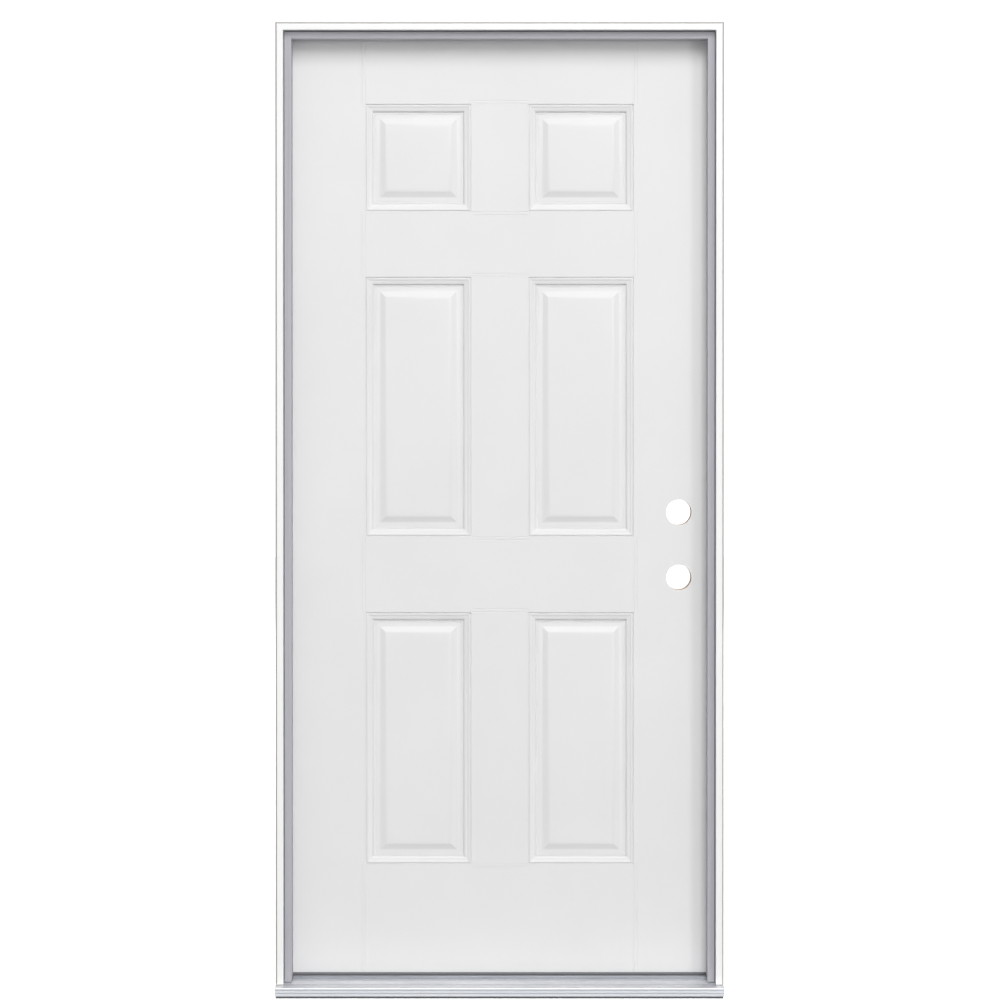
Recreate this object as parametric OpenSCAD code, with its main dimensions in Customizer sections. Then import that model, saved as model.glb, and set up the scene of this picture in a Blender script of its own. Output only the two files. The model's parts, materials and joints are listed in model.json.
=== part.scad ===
// Panelled entry door, prehung in its frame: left-hand inswing, bored for a lockset and a deadbolt.
// Millimetres. X runs right as seen from outside, the outside faces -Y, +Z is up.
// The origin is the middle of the sill's underside, at mid-depth of the jambs.

/* [Slab] */
// Slab width
slab_w = 908.05; // [740:0.05:1100]
// Slab height
slab_h = 2006.6; // [1800:0.1:2450]
// Slab thickness
slab_t = 44.45; // [40:0.05:54]
// Moulded skin thickness
skin_t = 2; // [1.5:0.1:2.5]
// Width of the solid stiles inside the slab's edges
edge_stile_w = 38; // [32:0.5:40]
// Height of the solid rails inside the slab's top and bottom
edge_rail_h = 38; // [30:0.5:60]

/* [Panels] */
// Face width from the slab's edge to the outer columns of panels
stile_w = 166.6; // [142:0.1:185]
// Face width between the two columns of panels
mullion_w = 121.7; // [100:0.1:146]
// Face height under the lower panels
bottom_rail_h = 232.4; // [190:0.1:280]
// Height of the lower panels
lower_panel_h = 540.2; // [450:0.1:650]
// Face height of the rail behind the lock
lock_rail_h = 162.5; // [135:0.1:195]
// Face height between the middle and the top panels
frieze_rail_h = 139.9; // [115:0.1:170]
// Height of the top panels
top_panel_h = 230.2; // [190:0.1:277]
// Face height over the top panels
top_rail_h = 145; // [120:0.1:175]

/* [Moulding] */
// Depth of the fine line round each panel
quirk_d = 1.5; // [1:0.1:2.5]
// Width of the fine line round each panel
quirk_w = 1.6; // [1.2:0.1:2]
// Radius of the bead beside the line
bead_r = 2.8; // [2:0.1:3]
// Where the slope below the bead ends
slope_end = 15.5; // [14:0.1:16]
// Depth at the end of the slope
slope_d = 6.4; // [5:0.1:7]
// Depth of the valley
valley_d = 8.6; // [7.5:0.1:9.5]
// Where the valley's small line lies
valley_line = 21.5; // [20:0.1:23]
// Where the bevel starts to rise
bevel_start = 27; // [25:0.1:30]
// Where the bevel ends and the raised field starts
bevel_end = 48; // [42:0.5:54]
// Depth of the raised field
field_d = 1.8; // [0.8:0.1:2.5]
// Depth of the shallow joint grooves
joint_d = 0.5; // [0.3:0.1:0.9]
// Width over each pair of joint grooves
joint_w = 8; // [6:0.5:10]

/* [Lock bores] */
// Height of the lockset's bore over the slab's bottom
lock_h = 847.3; // [800:0.1:1020]
// Distance from the lockset's bore up to the deadbolt's
bolt_spacing = 139.7; // [130:0.1:150]
// Distance from the slab's edge to the bores' axes
backset = 69.85; // [60.3:0.05:70]
// Radius of the two cross bores
cross_r = 27; // [25:0.1:27.5]
// Radius of the two bores in the slab's edge
edge_r = 12.7; // [11:0.1:13]
// Width of the faceplate recesses
face_w = 25.4; // [24:0.1:29]
// Height of the faceplate recesses
face_h = 57.15; // [54:0.05:60]
// Depth of the faceplate recesses
face_d = 3.2; // [2:0.1:4]
// Width of the solid block behind the bores
block_w = 100; // [98:0.5:120]
// Height of the solid block behind the bores
block_h = 450; // [300:1:600]

/* [Frame] */
// Depth of the jambs, outside face to inside face
jamb_d = 115.9; // [105:0.1:170]
// Thickness of the jambs behind the slab
jamb_t = 19.05; // [17:0.05:32]
// Thickness of the jambs' outside edge, in front of the stop
lip_t = 15.2; // [12:0.1:15.5]
// Depth of the recess in front of the stop
lip_d = 19.05; // [15:0.05:24]
// How far the stop stands in from the jamb
stop_t = 12.7; // [10:0.1:14]
// Gap between the slab and the jambs
gap = 3.175; // [2.5:0.025:4]
// Gap between the slab and the stop, for the seal
seal_gap = 6.35; // [5.8:0.05:8]
// Height of the slab's bottom over the sill's underside
rise = 41.275; // [40:0.025:46]

/* [Cladding and seals] */
// Width of bare jamb left outside the white cladding
reveal = 3.2; // [2:0.1:6]
// Thickness of the cladding on the jamb's outside edge
clad_t = 2.4; // [1.5:0.1:3]
// Thickness of the cladding in the recess
clad_leg = 1.5; // [1:0.1:2]
// Thickness of the seal's front cover
cover_t = 3.2; // [2.4:0.1:4]
// Thickness of the seal's leaf along the stop
leaf_t = 1.45; // [1:0.05:2]
// Clearance between the seal's bulb and the closed slab
seal_clear = 0.3; // [0.2:0.05:0.6]

/* [Sill] */
// How far the sill stands out in front of the jambs
nose_out = 27; // [20:0.5:40]
// Height of the sill's nose
nose_h = 23; // [20:0.5:25]
// Height of the nose's lower edge
nose_foot = 5; // [3:0.5:7]
// Height of the deck where it meets the cap
deck_h = 28.5; // [26:0.25:30]
// Height of the cap's top
cap_h = 36.5; // [35:0.25:38]
// How far the cap stands out in front of the closed slab
cap_out = 18.5; // [14:0.5:20]
// Distance from the jambs' inside edge to the cap's back
cap_in = 6.5; // [5:0.5:9]
// Radius of the cap's edges
cap_r = 2; // [1:0.1:3]
// Wall of the aluminium deck
deck_t = 2; // [1.6:0.1:2.6]
// Distance from the slab's ends to the outer adjusting screws
cap_screw_end = 90; // [60:1:130]
// Distance from the slab's outside face to the adjusting screws
cap_screw_in = 12; // [8:0.5:18]
// Length of the adjusting screws
cap_screw = 24; // [18:0.5:26]
// Clearance of the end plugs in the nose
plug_clear = 0.3; // [0.1:0.1:0.5]
// Length of the end plugs
plug_len = 11; // [6:0.5:20]

/* [Hinges] */
// Height of each hinge
hinge_h = 101.6; // [95:0.1:115]
// Width of the leaf let into the wood
hinge_in = 38.1; // [35:0.1:40]
// Distance from the slab's inside face to the pin's axis
pin_out = 12.7; // [10:0.1:14]
// Thickness of the leaves
hinge_t = 2.5; // [2:0.1:3]
// Radius of the leaves' corners
corner_r = 15.9; // [6:0.1:16]
// Radius of the pin
pin_r = 3.95; // [3.5:0.05:4]
// Clearance round the pin
pin_clear = 0.05; // [0.02:0.01:0.1]
// Wall of the knuckles round the pin
knuckle_wall = 2.5; // [2:0.1:3]
// Gap between knuckles
knuckle_gap = 0.4; // [0.2:0.1:0.6]
// Distance from the slab's top to the top hinge's top
hinge_top = 177.8; // [150:0.1:200]
// Distance from the slab's bottom to the bottom hinge's bottom
hinge_bottom = 254; // [200:1:280]

/* [Screws] */
// Radius of the hinge screws' heads
head_r = 4.6; // [4:0.1:5]
// Radius of the hinge screws' shanks
shank_r = 2; // [1.6:0.1:2.4]
// Length of the hinge screws in the slab
slab_screw = 25; // [20:0.5:30]
// Length of the hinge screws in the jamb
jamb_screw = 15.5; // [12:0.5:16]
// Clearance round a screw's shank
screw_clear = 0.1; // [0.05:0.05:0.2]
// Distance from a leaf's inner edge to its end screws
screw_in_a = 9.5; // [8:0.5:12]
// Distance from a leaf's inner edge to its middle screws
screw_in_b = 26; // [20:0.5:29]
// Distance from a leaf's ends to its end screws
screw_end = 12.5; // [10:0.5:16]
// Distance from a leaf's ends to its middle screws
screw_mid = 35.5; // [26:0.5:38]
// Radius of the assembly screws' heads
long_head_r = 4; // [3.4:0.1:4.6]
// Radius of the assembly screws' shanks
long_r = 1.9; // [1.6:0.1:2.2]
// Length of the assembly screws
long_screw = 44; // [36:1:60]

/* [Strike plate] */
// Height of the deadbolt's strike plate
strike_h = 88.9; // [80:0.1:100]
// Width of the strike plate
strike_w = 28.6; // [26:0.1:32]
// Thickness of the strike plate
strike_t = 2; // [1.5:0.1:2.5]
// Radius of the deadbolt's pocket in the jamb
bolt_pocket_r = 13.5; // [12:0.1:14]
// Radius of the latch's pocket in the jamb
latch_pocket_r = 11.5; // [10:0.1:12]
// Depth of the latch's pocket in the jamb
latch_depth = 14; // [12:0.5:16]
// Width of the strike plate's hole
strike_hole_w = 18; // [15:0.5:20]
// Height of the strike plate's hole
strike_hole_h = 26; // [22:0.5:28]
// Distance from the strike plate's ends to its screws
strike_screw_end = 10.5; // [8:0.5:14]
// Distance between the strike plate's screws across its width
strike_screw_gap = 13; // [10:0.5:16]
// Length of the strike plate's screws
strike_screw = 16; // [12:0.5:16.5]
// Radius of the strike plate's screw shanks
strike_shank_r = 1.8; // [1.5:0.1:2]

/* [Sweep and pads] */
// Distance from the slab's outside face to the sweep's outer groove
kerf_out = 13; // [10:0.5:16]
// Distance from the slab's inside face to the sweep's inner groove
kerf_back = 16; // [12:0.5:20]
// Width of the grooves that hold the seals and the sweep
kerf_w = 3; // [2.4:0.1:3.6]
// Depth of the sweep's grooves
kerf_h = 8; // [6:0.5:10]
// Thickness of the sweep's web
web_t = 1.6; // [1.2:0.1:2]
// Thickness of the sweep's fins
fin_t = 1.4; // [1:0.1:2]
// Clearance between the fins and the sill's cap
fin_clear = 0.5; // [0.3:0.1:1]
// Clearance at each end of the sweep
sweep_end = 1; // [0.5:0.1:2]
// Height of the corner pads
pad_h = 50; // [40:1:70]
// Width of the corner pads
pad_w = 26; // [20:0.5:34]
// Thickness of the hinge side's corner pad
pad_t = 1.4; // [1:0.1:1.6]
// Thickness of the lock side's corner pad
pad_lock_t = 1.2; // [0.8:0.1:1.4]

/* [Hidden] */
$fa = 4;
$fs = 0.4;
e = 0.01;
unit_w = slab_w + 2 * (gap + jamb_t);
unit_h = rise + slab_h + gap + jamb_t;
half_w = unit_w / 2;
y_out = -jamb_d / 2;
y_in = jamb_d / 2;
slab_y = y_in - slab_t;
slab_x = slab_w / 2;
slab_top = rise + slab_h;
stop_y0 = y_out + lip_d;
stop_y1 = slab_y - seal_gap;
stop_in = jamb_t + stop_t;
core_t = slab_t - 2 * skin_t;
panel_w = (slab_w - 2 * stile_w - mullion_w) / 2;
middle_panel_h = slab_h - bottom_rail_h - lower_panel_h - lock_rail_h - frieze_rail_h
               - top_panel_h - top_rail_h;
row_z = [
  bottom_rail_h,
  bottom_rail_h + lower_panel_h + lock_rail_h,
  bottom_rail_h + lower_panel_h + lock_rail_h + middle_panel_h + frieze_rail_h];
row_h = [lower_panel_h, middle_panel_h, top_panel_h];
col_x = [stile_w, stile_w + panel_w + mullion_w];
bore_x = slab_x - backset;
lock_z = rise + lock_h;
bolt_z = lock_z + bolt_spacing;
mid_y = slab_y + slab_t / 2;
pin_x = -slab_x - gap / 2;
pin_y = y_in + pin_out;
knuckle_r = pin_r + pin_clear + knuckle_wall;
knuckle_h = hinge_h / 5;
hinge_z = [
  rise + hinge_bottom,
  rise + (hinge_bottom + slab_h - hinge_top - hinge_h) / 2,
  slab_top - hinge_top - hinge_h];
cover_y = stop_y0 - cover_t;
seal_in = stop_in + leaf_t;
clad_in = lip_t + clad_leg;
nose_y = y_out - nose_out;
cap_y0 = slab_y - cap_out;
cap_y1 = y_in - cap_in;
nose_r = 1.5;
clad_z = deck_z(stop_y0) + 0.3;

function arc(x, y, r, a0, a1, n) = [for (i = [0:n]) let (a = a0 + (a1 - a0) * i / n)
  [x + r * cos(a), y + r * sin(a)]];
function flip(p) = [for (i = [len(p) - 1:-1:0]) p[i]];
function shift(p, x, y) = [for (q = p) [q[0] + x, q[1] + y]];

// ---- panels ----

// The moulding's outline: distance in from the panel's outer line, and depth below the face.
bead_x = quirk_w + bead_r - 0.3;
bead_y = 0.4 + bead_r;
function moulding() = concat(
  [[-2, 0], [0, 0], [0.3, quirk_d], [quirk_w, quirk_d]],
  arc(bead_x, bead_y, bead_r, 225, 310, 5),
  [[(bead_x + slope_end) / 2 + 1, (bead_y + slope_d) / 2 - 0.3], [slope_end, slope_d],
   [slope_end + 0.6, valley_d - 0.4], [valley_line, valley_d],
   [valley_line + 0.5, valley_d - 0.5], [bevel_start, valley_d - 0.9],
   [bevel_end - 4, field_d + 1.1], [bevel_end - 1.6, field_d + 0.25], [bevel_end, field_d],
   [bevel_end + 2, field_d]]);

// One side of a panel, mitred at both ends: p is an outline of [inward, depth] pairs.
module side(p, length) {
  intersection() {
    translate([-5, 0, 0]) rotate([90, 0, 90]) linear_extrude(length + 10) polygon(p);
    translate([0, 0, -5]) linear_extrude(40)
      polygon([[-2, -2], [length + 2, -2], [length - bevel_end - 2, bevel_end + 2],
        [bevel_end + 2, bevel_end + 2]]);
  }
}

// All four sides round a panel of w by h, and its field between depths d0 and d1.
module panel(p, w, h, d0, d1) {
  for (s = [0, 1]) {
    translate([s * w, s * h, 0]) rotate([0, 0, s * 180]) side(p, w);
    translate([w - s * w, s * h, 0]) rotate([0, 0, 90 + s * 180]) side(p, h);
  }
  translate([bevel_end + 1, bevel_end + 1, d0])
    cube([w - 2 * bevel_end - 2, h - 2 * bevel_end - 2, d1 - d0]);
}

module each_panel() {
  for (x = col_x, r = [0:2]) translate([x, row_z[r], 0]) {
    $w = panel_w;
    $h = row_h[r];
    children();
  }
}

// Pairs of shallow grooves where stiles and rails meet.
module joint_pair(x, z, w, h) {
  g = joint_w / 4;
  if (w < h) for (i = [0, 1]) translate([x + i * (w - g), z, -1]) cube([g, h, 1 + joint_d]);
  else for (i = [0, 1]) translate([x, z + i * (h - g), -1]) cube([w, g, 1 + joint_d]);
}

module joints() {
  edges = [0, row_z[0], row_z[0] + row_h[0], row_z[1], row_z[1] + row_h[1], row_z[2],
    row_z[2] + row_h[2], slab_h];
  for (i = [0:3]) {
    joint_pair(stile_w - joint_w, edges[2 * i] - (i == 0 ? 1 : 0), joint_w,
      edges[2 * i + 1] - edges[2 * i] + (i % 3 == 0 ? 1 : 0));
    joint_pair(slab_w - stile_w, edges[2 * i] - (i == 0 ? 1 : 0), joint_w,
      edges[2 * i + 1] - edges[2 * i] + (i % 3 == 0 ? 1 : 0));
  }
  for (i = [1:6])
    joint_pair(stile_w + panel_w, edges[i] - (i % 2 == 0 ? 0 : joint_w), mullion_w, joint_w);
}

// A moulded skin lying face down: its face at depth 0, its back at depth skin_t.
module skin() {
  band = concat(moulding(), flip(shift(moulding(), 0, skin_t)));
  difference() {
    union() {
      difference() {
        cube([slab_w, slab_h, skin_t]);
        each_panel() translate([0, 0, -1]) cube([$w, $h, skin_t + 2]);
      }
      each_panel() panel(band, $w, $h, field_d, field_d + skin_t);
    }
    joints();
    for (z = [lock_h, lock_h + bolt_spacing])
      translate([slab_w - backset, z, -1]) cylinder(r = cross_r, h = skin_t + 2);
  }
}

// Lay a face-down shape on the slab's outside or inside face.
module on_outside() translate([-slab_x, slab_y, rise]) multmatrix([[1, 0, 0, 0], [0, 0, 1, 0],
  [0, 1, 0, 0], [0, 0, 0, 1]]) children();
module on_inside() translate([-slab_x, y_in, rise]) multmatrix([[1, 0, 0, 0], [0, 0, -1, 0],
  [0, 1, 0, 0], [0, 0, 0, 1]]) children();

module skin_exterior() color("#e8e8e6") on_outside() skin();
module skin_interior() color("#e8e8e6") difference() {
  on_inside() skin();
  for (z = hinge_z) translate([-slab_x - 1, 0, z]) leaf_plate(hinge_t + 1);
}

// ---- inside the slab ----

module lock_bores() {
  for (z = [lock_z, bolt_z]) {
    translate([bore_x, slab_y - 1, z]) rotate([-90, 0, 0]) cylinder(r = cross_r, h = slab_t + 2);
    translate([bore_x, mid_y, z]) rotate([0, 90, 0]) cylinder(r = edge_r, h = backset + 1);
    translate([slab_x - face_d, mid_y - face_w / 2, z - face_h / 2])
      cube([face_d + 1, face_w, face_h]);
  }
}

module core_box(x0, x1, z0, z1)
  translate([x0, slab_y + skin_t, z0]) cube([x1 - x0, core_t, z1 - z0]);

module hinge_stile() color("#c9a878") difference() {
  core_box(-slab_x, edge_stile_w - slab_x, rise, slab_top);
  for (z = hinge_z) translate([-slab_x - 1, 0, z]) leaf_plate(hinge_t + 1);
  for (z = hinge_z) door_screw_holes(z);
  sweep_kerfs();
}

module lock_stile() color("#c9a878") difference() {
  core_box(slab_x - edge_stile_w, slab_x, rise, slab_top);
  lock_bores();
  sweep_kerfs();
}

module top_rail() color("#c9a878")
  core_box(edge_stile_w - slab_x, slab_x - edge_stile_w, slab_top - edge_rail_h, slab_top);

module bottom_rail() color("#c9a878") difference() {
  core_box(edge_stile_w - slab_x, slab_x - edge_stile_w, rise, rise + edge_rail_h);
  sweep_kerfs();
}

block_z = (lock_z + bolt_z) / 2 - block_h / 2;
module block_box() core_box(slab_x - edge_stile_w - block_w, slab_x - edge_stile_w,
  block_z, block_z + block_h);

module lock_block() color("#b8935f") difference() {
  block_box();
  lock_bores();
}

module foam_core() color("#efe3b8") {
  cut = concat(shift(moulding(), 0, skin_t), [[bevel_end + 2, skin_t - 2], [-2, skin_t - 2]]);
  difference() {
    core_box(edge_stile_w - slab_x, slab_x - edge_stile_w, rise + edge_rail_h,
      slab_top - edge_rail_h);
    block_box();
    on_outside() each_panel() panel(cut, $w, $h, skin_t - 1, skin_t + field_d);
    on_inside() each_panel() panel(cut, $w, $h, skin_t - 1, skin_t + field_d);
  }
}

// ---- sweep ----

kerf_y = [slab_y + kerf_out, slab_y + slab_t - kerf_back];
module sweep_kerfs() for (y = kerf_y)
  translate([-slab_x - 1, y, rise - 1]) cube([slab_w + 2, kerf_w, kerf_h + 1]);

module door_sweep() color("#3c3d40") {
  y0 = slab_y + 1;
  y1 = slab_y + slab_t - 1;
  fins = [y0, y0 + (kerf_y[0] - y0) * 0.7, kerf_y[0] + kerf_w + 1.5, kerf_y[1] - 1.5, y1 - fin_t];
  translate([sweep_end - slab_x, 0, 0]) rotate([90, 0, 90])
    linear_extrude(slab_w - 2 * sweep_end) {
      translate([y0, rise - web_t]) square([y1 - y0, web_t]);
      for (y = kerf_y) translate([y + kerf_w / 2 - 0.9, rise - 0.5]) square([1.8, kerf_h - 0.5]);
      for (y = kerf_y, z = [2, 4.5]) translate([y + 0.1, rise + z]) square([kerf_w - 0.2, 1]);
      for (y = fins) translate([y, cap_h + fin_clear])
        square([fin_t, rise - cap_h - fin_clear - web_t / 2]);
    }
}

// ---- hinges ----

// Leaf outline in the plane of the slab's edge, z up from the hinge's bottom.
module leaf_outline(y1) {
  y0 = y_in - hinge_in;
  translate([y0 + corner_r, 0]) square([y1 - y0 - corner_r, hinge_h]);
  translate([y0, corner_r]) square([corner_r + 1, hinge_h - 2 * corner_r]);
  for (z = [corner_r, hinge_h - corner_r]) translate([y0 + corner_r, z]) circle(r = corner_r);
}

// Cutter for a leaf's recess, its outside at x = 0.
module leaf_plate(t) rotate([90, 0, 90]) linear_extrude(t) leaf_outline(y_in + 1);

screw_at = [[screw_in_a, screw_end], [screw_in_b, screw_mid], [screw_in_b, hinge_h - screw_mid],
  [screw_in_a, hinge_h - screw_end]];
screw_head_h = 2.3;

// Countersunk screw along +X from its head's face at x = 0; grow adds clearance.
module screw(length, grow, shank, head) {
  rotate([0, 90, 0]) rotate_extrude() polygon([[0, -grow], [head + grow, -grow],
    [head + grow, 0.4], [shank + grow, screw_head_h + 0.4], [shank + grow, length - 4],
    [shank * 0.35, length + grow], [0, length + grow]]);
}

module cross_slots() for (a = [0, 90]) rotate([a, 0, 0])
  translate([-1, -0.55, -2.4]) cube([2.2, 1.1, 4.8]);

module crossed_screw(length, shank, head) difference() {
  screw(length, 0, shank, head);
  cross_slots();
}

module at_door_screws(z) for (s = screw_at)
  translate([-slab_x, y_in - hinge_in + s[0], z + s[1]]) children();
module at_frame_screws(z) for (s = screw_at)
  translate([jamb_t - half_w, y_in - hinge_in + s[0], z + s[1]]) mirror([1, 0, 0]) children();

module door_screw_holes(z) at_door_screws(z) screw(slab_screw, screw_clear, shank_r, head_r);
module frame_screw_holes(z) at_frame_screws(z) screw(jamb_screw, screw_clear, shank_r, head_r);

module hinge_screws_door() color("#b9b6ae") for (z = hinge_z)
  at_door_screws(z) crossed_screw(slab_screw, shank_r, head_r);
module hinge_screws_frame() color("#b9b6ae") for (z = hinge_z)
  at_frame_screws(z) crossed_screw(jamb_screw, shank_r, head_r);

// A leaf with its knuckles: x0 is its hidden face, own lists its knuckles from the bottom.
module leaf(x0, z, own) {
  edge = pin_y - knuckle_r - 0.6;
  difference() {
    union() {
      translate([x0, 0, z]) rotate([90, 0, 90]) linear_extrude(hinge_t) leaf_outline(edge);
      for (k = own) translate([0, 0, z + k * knuckle_h + knuckle_gap / 2]) {
        translate([x0, edge - 1, 0]) cube([hinge_t, pin_y - edge + 1, knuckle_h - knuckle_gap]);
        translate([pin_x, pin_y, 0]) cylinder(r = knuckle_r, h = knuckle_h - knuckle_gap);
      }
    }
    translate([pin_x, pin_y, z - 1]) cylinder(r = pin_r + pin_clear, h = hinge_h + 2);
  }
}

module leaf_door(z) color("#c4c0b6") difference() {
  leaf(-slab_x, z, [1, 3]);
  door_screw_holes(z);
}
module leaf_frame(z) color("#c4c0b6") difference() {
  leaf(jamb_t - half_w - hinge_t, z, [0, 2, 4]);
  frame_screw_holes(z);
}
module hinge_leaf_door_bottom() leaf_door(hinge_z[0]);
module hinge_leaf_door_middle() leaf_door(hinge_z[1]);
module hinge_leaf_door_top() leaf_door(hinge_z[2]);
module hinge_leaf_frame_bottom() leaf_frame(hinge_z[0]);
module hinge_leaf_frame_middle() leaf_frame(hinge_z[1]);
module hinge_leaf_frame_top() leaf_frame(hinge_z[2]);

// Loose pin with a domed head, dropped in from the top.
module pin(z) color("#c4c0b6") translate([pin_x, pin_y, z]) rotate_extrude() polygon(concat(
  [[0, 1], [pin_r - 0.8, 1], [pin_r, 2.2], [pin_r, hinge_h - knuckle_gap / 2],
   [knuckle_r - 0.2, hinge_h - knuckle_gap / 2], [knuckle_r - 0.2, hinge_h + 1.6]],
  arc(0, hinge_h + 1.6, knuckle_r - 0.2, 6, 84, 8), [[0, hinge_h + 1.4 + knuckle_r]]));
module hinge_pin_bottom() pin(hinge_z[0]);
module hinge_pin_middle() pin(hinge_z[1]);
module hinge_pin_top() pin(hinge_z[2]);

// ---- jambs, cladding and seals ----
// Outlines are drawn as [in from the unit's outside face, Y].

kerf_in = jamb_t + 3;
kerf_d = 10;
module jamb_outline() polygon([[0, y_out], [lip_t, y_out], [lip_t, stop_y0], [jamb_t, stop_y0],
  [jamb_t, y_in], [0, y_in]]);
module stop_outline() difference() {
  translate([jamb_t, stop_y0]) square([stop_t, stop_y1 - stop_y0]);
  kerf_outline();
}
module kerf_outline() translate([kerf_in, stop_y1 - kerf_d]) square([kerf_w, kerf_d + 1]);

module clad_outline() polygon(concat([[reveal, y_out], [reveal, y_out - clad_t + 0.6],
  [reveal + 0.6, y_out - clad_t]],
  arc(clad_in - 1, y_out - clad_t + 1, 1, -90, 0, 4),
  [[clad_in, stop_y0], [lip_t, stop_y0], [lip_t, y_out]]));

module seal_outline() {
  rib = 2.9;
  difference() {
    translate([jamb_t, cover_y]) square([seal_in - jamb_t, cover_t]);
    for (i = [0:3]) translate([jamb_t + 2.2 + i * rib, cover_y - 1]) square([1, 1.6]);
  }
  translate([stop_in, cover_y + 1]) square([leaf_t, stop_y1 - cover_y]);
  translate([kerf_in - 1, stop_y1]) square([seal_in - kerf_in + 1, 1]);
  translate([kerf_in + 0.8, stop_y1 - 9]) square([kerf_w - 1.6, 9.5]);
  for (i = [0:2]) translate([kerf_in + 0.1, stop_y1 - 8 + i * 2.5]) square([kerf_w - 0.2, 1]);
  bulb_d = seal_gap - seal_clear - 0.7;
  bulb_y = slab_y - seal_clear - bulb_d / 2;
  x0 = kerf_in - 1 + bulb_d / 2;
  x1 = seal_in - bulb_d / 2;
  difference() {
    union() {
      translate([x0, bulb_y - bulb_d / 2]) square([x1 - x0, bulb_d]);
      for (x = [x0, x1]) translate([x, bulb_y]) circle(r = bulb_d / 2);
    }
    translate([x0, bulb_y - bulb_d / 2 + 0.9]) square([x1 - x0, bulb_d - 1.8]);
    for (x = [x0, x1]) translate([x, bulb_y]) circle(r = bulb_d / 2 - 0.9);
  }
}

module upright(z0, z1) translate([-half_w, 0, z0]) linear_extrude(z1 - z0) children();
module across() translate([-half_w, 0, unit_h]) rotate([0, 90, 0])
  linear_extrude(unit_w) children();
module other_side() mirror([1, 0, 0]) children();

// The left part of the unit, cut off at 45 degrees through its top corner.
module mitre_side() translate([0, 100, 0]) rotate([90, 0, 0]) linear_extrude(200)
  polygon([[-half_w - 60, -10], [60 - half_w, -10], [60 - half_w, unit_h - 60],
    [-half_w - 60, unit_h + 60]]);
module mitre_head() translate([0, 100, 0]) rotate([90, 0, 0]) linear_extrude(200)
  polygon([[60 - half_w, unit_h - 60], [half_w - 60, unit_h - 60],
    [half_w + 60, unit_h + 60], [-half_w - 60, unit_h + 60]]);

long_y = [(y_out + lip_d / 2), (stop_y0 + stop_y1) / 2, (stop_y1 + y_in) / 2];
module long_screws(z, ys, grow) for (s = [0, 1], y = ys) mirror([s, 0, 0])
  translate([-half_w, y, z]) screw(long_screw, grow, long_r, long_head_r);
module head_screw_set(grow) long_screws(unit_h - jamb_t / 2, [long_y[1] - 10, long_y[1] + 14,
  long_y[2]], grow);
module sill_screw_set(grow) long_screws(deck_h * 0.4, [long_y[1], long_y[2]], grow);
module head_screws() color("#a8a49a") head_screw_set(0);
module sill_screws() color("#a8a49a") sill_screw_set(0);

module jamb_hinge_side() color("#d9c49a") difference() {
  upright(0, unit_h) jamb_outline();
  for (z = hinge_z) translate([jamb_t - half_w - hinge_t, 0, z]) leaf_plate(hinge_t + 1);
  for (z = hinge_z) frame_screw_holes(z);
  head_screw_set(screw_clear);
  sill_screw_set(screw_clear);
}

module strike_cuts() {
  x = half_w - jamb_t;
  translate([x - 1, mid_y - strike_w / 2, bolt_z - strike_h / 2])
    cube([strike_t + 1, strike_w, strike_h]);
  translate([x - 1, mid_y, bolt_z]) rotate([0, 90, 0])
    cylinder(r = bolt_pocket_r, h = jamb_t + 2);
  translate([x - 1, mid_y - face_w / 2, lock_z - face_h / 2]) cube([strike_t + 1, face_w, face_h]);
  translate([x - 1, mid_y, lock_z]) rotate([0, 90, 0]) cylinder(r = latch_pocket_r, h = latch_depth + 1);
}
module at_strike_screws() for (y = [-1, 1], z = [-1, 1])
  translate([half_w - jamb_t, mid_y + y * strike_screw_gap / 2,
    bolt_z + z * (strike_h / 2 - strike_screw_end)]) children();
module strike_screw_holes() at_strike_screws()
  screw(strike_screw, screw_clear, strike_shank_r, long_head_r);

module jamb_strike_side() color("#d9c49a") difference() {
  other_side() upright(0, unit_h) jamb_outline();
  strike_cuts();
  strike_screw_holes();
  head_screw_set(screw_clear);
  sill_screw_set(screw_clear);
}

module jamb_head() color("#d9c49a") difference() {
  across() jamb_outline();
  for (s = [0, 1]) mirror([s, 0, 0]) upright(-1, unit_h + 1) jamb_outline();
  head_screw_set(screw_clear);
}

// Stops, the head's between the two side ones; each seal's groove runs on through its neighbour.
module stop_hinge_side() color("#dfcaa2") difference() {
  upright(0, unit_h - jamb_t) stop_outline();
  across() kerf_outline();
  sill_screw_set(screw_clear);
}
module stop_strike_side() other_side() stop_hinge_side();
module stop_head() color("#dfcaa2") difference() {
  across() stop_outline();
  for (s = [0, 1]) mirror([s, 0, 0]) upright(-1, unit_h + 1) {
    translate([-1, stop_y0 - 1]) square([stop_in + 1, stop_y1 - stop_y0 + 2]);
    kerf_outline();
  }
  head_screw_set(screw_clear);
}

module strike_plate() color("#c4c0b6") difference() {
  translate([half_w - jamb_t, mid_y - strike_w / 2, bolt_z - strike_h / 2])
    cube([strike_t, strike_w, strike_h]);
  translate([half_w - jamb_t - 1, mid_y - strike_hole_w / 2, bolt_z - strike_hole_h / 2])
    cube([strike_t + 2, strike_hole_w, strike_hole_h]);
  strike_screw_holes();
}
module strike_screws() color("#b9b6ae") at_strike_screws()
  crossed_screw(strike_screw, strike_shank_r, long_head_r);

module cladding_hinge_side() color("#f7f7f7") intersection() {
  upright(clad_z, unit_h + 50) clad_outline();
  mitre_side();
}
module cladding_strike_side() other_side() cladding_hinge_side();
module cladding_head() color("#f7f7f7") intersection() {
  across() clad_outline();
  mitre_head();
}

seal_z = deck_h + 1;
module seal_hinge_side() color("#b2b1b7") intersection() {
  upright(seal_z, unit_h + 50) seal_outline();
  mitre_side();
}
module seal_strike_side() other_side() seal_hinge_side();
module seal_head() color("#b2b1b7") intersection() {
  across() seal_outline();
  mitre_head();
}

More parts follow.
